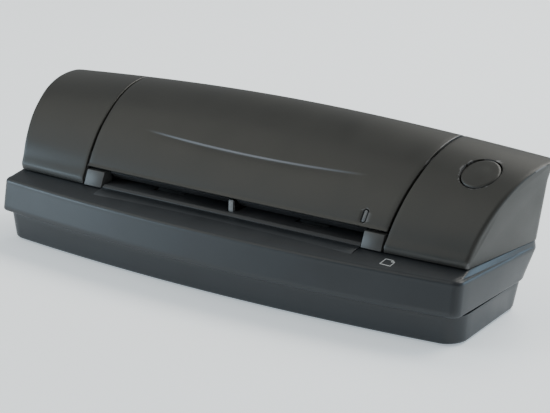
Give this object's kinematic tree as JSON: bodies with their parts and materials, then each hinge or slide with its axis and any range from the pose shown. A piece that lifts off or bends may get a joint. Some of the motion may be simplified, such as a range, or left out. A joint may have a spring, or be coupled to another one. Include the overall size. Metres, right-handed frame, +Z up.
{
  "type": "sheet fed document scanner",
  "caption": "Small sheet fed document scanner with a bowed base rim, side covers, a hinged lid over the feed slot, a round scan button, feed rollers and a gear train.",
  "frame": {"origin": "centre of the footprint, on the table", "axes": "+X along the width, from the left end to the right end seen from the feed slot; +Y towards the rear exit; +Z up"},
  "size_m": [0.2018, 0.057, 0.055],
  "materials": {
    "cover_plastic": "fine textured matte",
    "base_plastic": "fine textured matte",
    "inner_plastic": "smooth matte black",
    "rubber": "ground rubber",
    "steel": "ground steel",
    "acetal": "off-white acetal",
    "scan_glass": "clear glass over a dark sensor",
    "light_pipe": "frosted light pipe",
    "circuit_board": "green solder mask"
  },
  "bodies": {
    "chassis": {"bottom_cover": "base_plastic", "lower_housing": "base_plastic", "left_cover": "cover_plastic", "right_cover": "cover_plastic", "rear_panel": "cover_plastic", "left_guide_block": "cover_plastic", "right_guide_block": "cover_plastic", "paper_bed": "inner_plastic", "scan_sensor": "base_plastic", "scan_glass": "scan_glass", "left_side_frame": "inner_plastic", "right_side_frame": "inner_plastic", "idler_post": "steel", "drive_motor": "steel", "button_switch": "inner_plastic", "button_board": "circuit_board", "main_circuit_board": "circuit_board", "usb_socket": "steel", "power_socket": "inner_plastic", "power_socket_pin": "steel", "foot_1": "rubber", "foot_2": "rubber", "foot_3": "rubber", "foot_4": "rubber", "case_screw_1": "steel", "case_screw_2": "steel", "case_screw_3": "steel", "case_screw_4": "steel"},
    "lid": {"lid_shell": "cover_plastic", "lid_liner": "inner_plastic", "indicator_window": "light_pipe", "left_hinge_pin": "steel", "right_hinge_pin": "steel"},
    "motor_rotor": {"motor_shaft": "steel", "motor_pinion": "acetal"},
    "idler": {"idler_gear": "acetal"},
    "front_feed": {"front_feed_shaft": "steel", "front_feed_gear": "acetal", "front_feed_roller_left": "rubber", "front_feed_roller_right": "rubber"},
    "rear_feed": {"rear_feed_shaft": "steel", "rear_feed_gear": "acetal", "rear_feed_roller_left": "rubber", "rear_feed_roller_right": "rubber"},
    "front_pinch": {"front_pinch_shaft": "steel", "front_pinch_roller_left": "acetal", "front_pinch_roller_right": "acetal"},
    "rear_pinch": {"rear_pinch_shaft": "steel", "rear_pinch_roller_left": "acetal", "rear_pinch_roller_right": "acetal"},
    "button": {"scan_button": "cover_plastic"},
    "lever": {"sheet_sensor_lever": "acetal"}
  },
  "joints": [
    {"name": "lid_hinge", "type": "hinge", "parent": "chassis", "child": "lid", "pos_m": [0, 0.0233, 0.044], "axis": [-1, 0, 0], "range_deg": [0, 60]},
    {"name": "front_feed_spin", "type": "hinge", "parent": "chassis", "child": "front_feed", "pos_m": [0, -0.0041, 0.0202], "axis": [1, 0, 0], "continuous": true},
    {"name": "rear_feed_spin", "type": "hinge", "parent": "chassis", "child": "rear_feed", "pos_m": [0, 0.0189, 0.0202], "axis": [1, 0, 0], "continuous": true},
    {"name": "idler_spin", "type": "hinge", "parent": "chassis", "child": "idler", "pos_m": [-0.073, 0.0074, 0.0202], "axis": [1, 0, 0], "continuous": true},
    {"name": "motor_spin", "type": "hinge", "parent": "chassis", "child": "motor_rotor", "pos_m": [-0.073, -0.0041, 0.0112], "axis": [1, 0, 0], "continuous": true},
    {"name": "front_pinch_spin", "type": "hinge", "parent": "lid", "child": "front_pinch", "pos_m": [0, -0.0041, 0.02845], "axis": [1, 0, 0], "continuous": true},
    {"name": "rear_pinch_spin", "type": "hinge", "parent": "lid", "child": "rear_pinch", "pos_m": [0, 0.0189, 0.02845], "axis": [1, 0, 0], "continuous": true},
    {"name": "button_press", "type": "slide", "parent": "chassis", "child": "button", "axis": [0, 0.4462, -0.8949], "range_m": [0, 0.001], "stiffness_N_per_m": 400},
    {"name": "sheet_lever_turn", "type": "hinge", "parent": "chassis", "child": "lever", "pos_m": [0, -0.0112, 0.0212], "axis": [-1, 0, 0], "range_deg": [0, 35], "stiffness_Nm_per_rad": 0.002}
  ],
  "couplings": [
    {"joint": "rear_feed_spin", "follows": "front_feed_spin", "ratio": 1},
    {"joint": "idler_spin", "follows": "front_feed_spin", "ratio": -1.0909},
    {"joint": "motor_spin", "follows": "front_feed_spin", "ratio": -2},
    {"joint": "front_pinch_spin", "follows": "front_feed_spin", "ratio": -1.6667},
    {"joint": "rear_pinch_spin", "follows": "front_feed_spin", "ratio": -1.6667}
  ]
}
